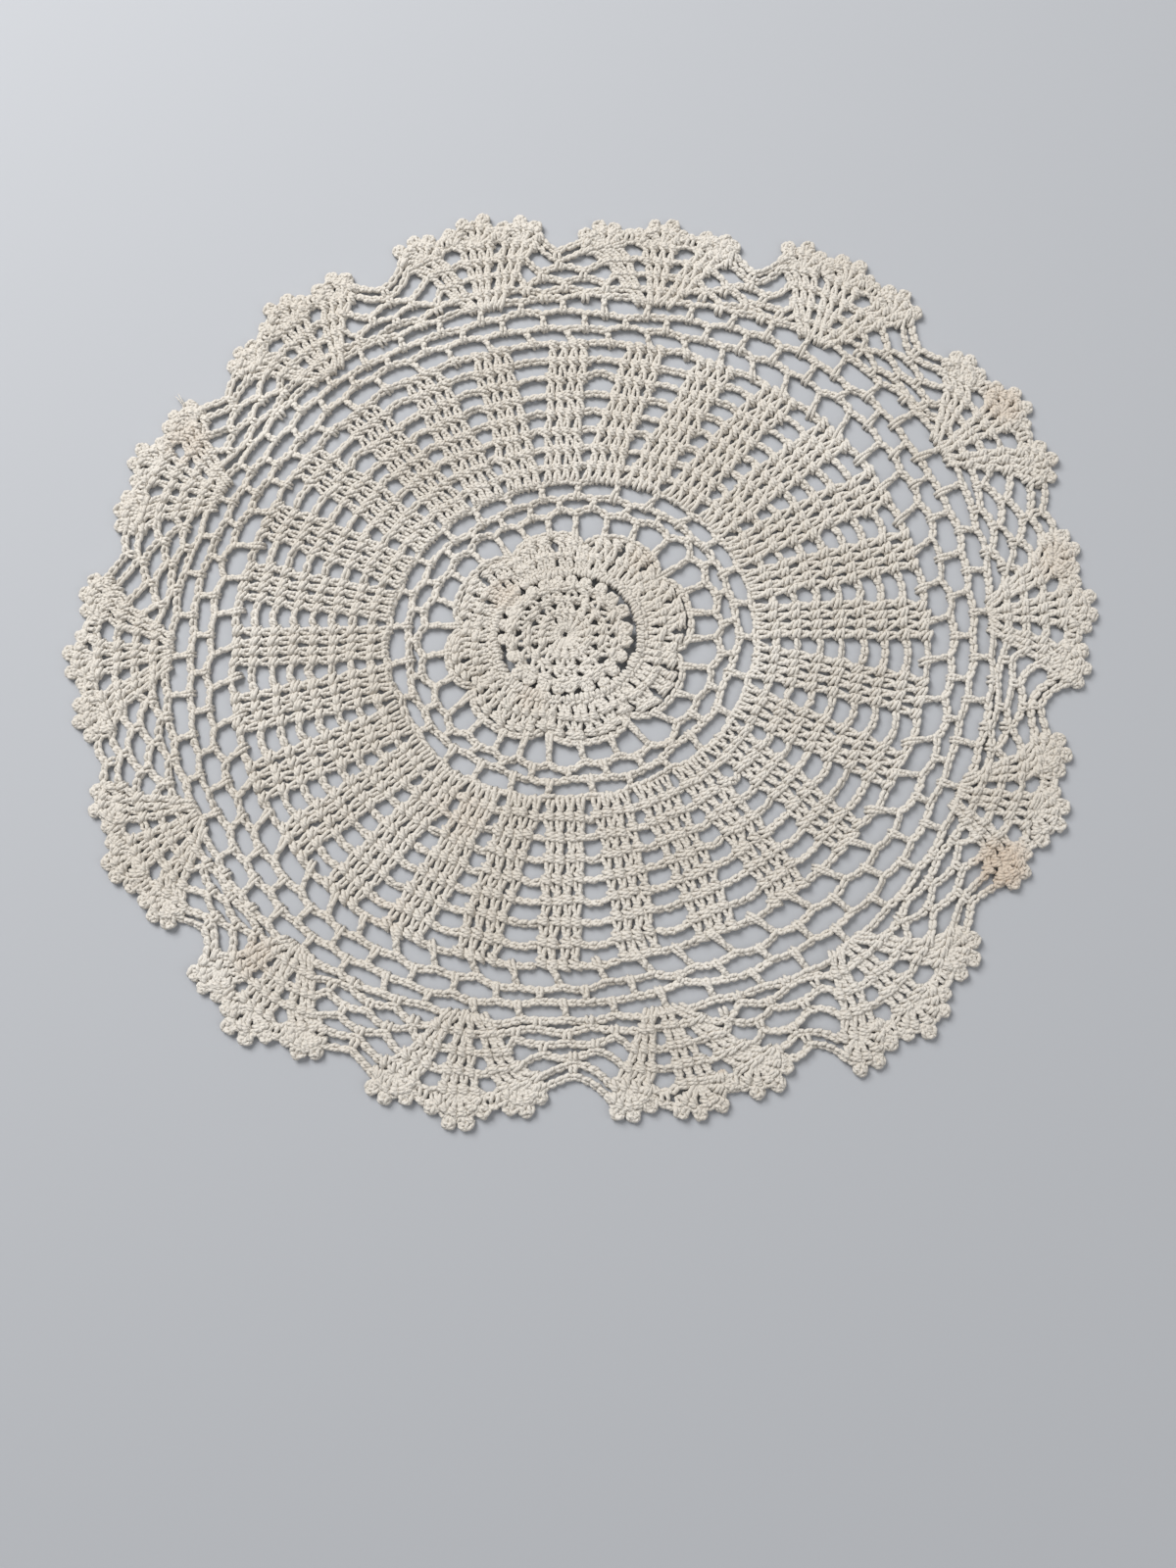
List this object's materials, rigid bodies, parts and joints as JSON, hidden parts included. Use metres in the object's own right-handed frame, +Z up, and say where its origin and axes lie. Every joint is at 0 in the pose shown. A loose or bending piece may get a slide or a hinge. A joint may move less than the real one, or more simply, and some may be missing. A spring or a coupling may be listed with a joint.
{
  "type": "lace doily",
  "caption": "Slightly oval crocheted cotton doily: a raised rose, an inner net, dense radial blocks, an outer net and a scalloped border of picot fans. Lies flat under a vase, dish or lamp.",
  "frame": {"origin": "on the flat underside, at the middle of the rose", "axes": "+Z up out of the cloth, +X along its longer width, +Y across it"},
  "size_m": [0.3081, 0.2811, 0.0039],
  "materials": {
    "cotton": "matte"
  },
  "bodies": {
    "root": {"doily": "cotton"}
  },
  "joints": []
}
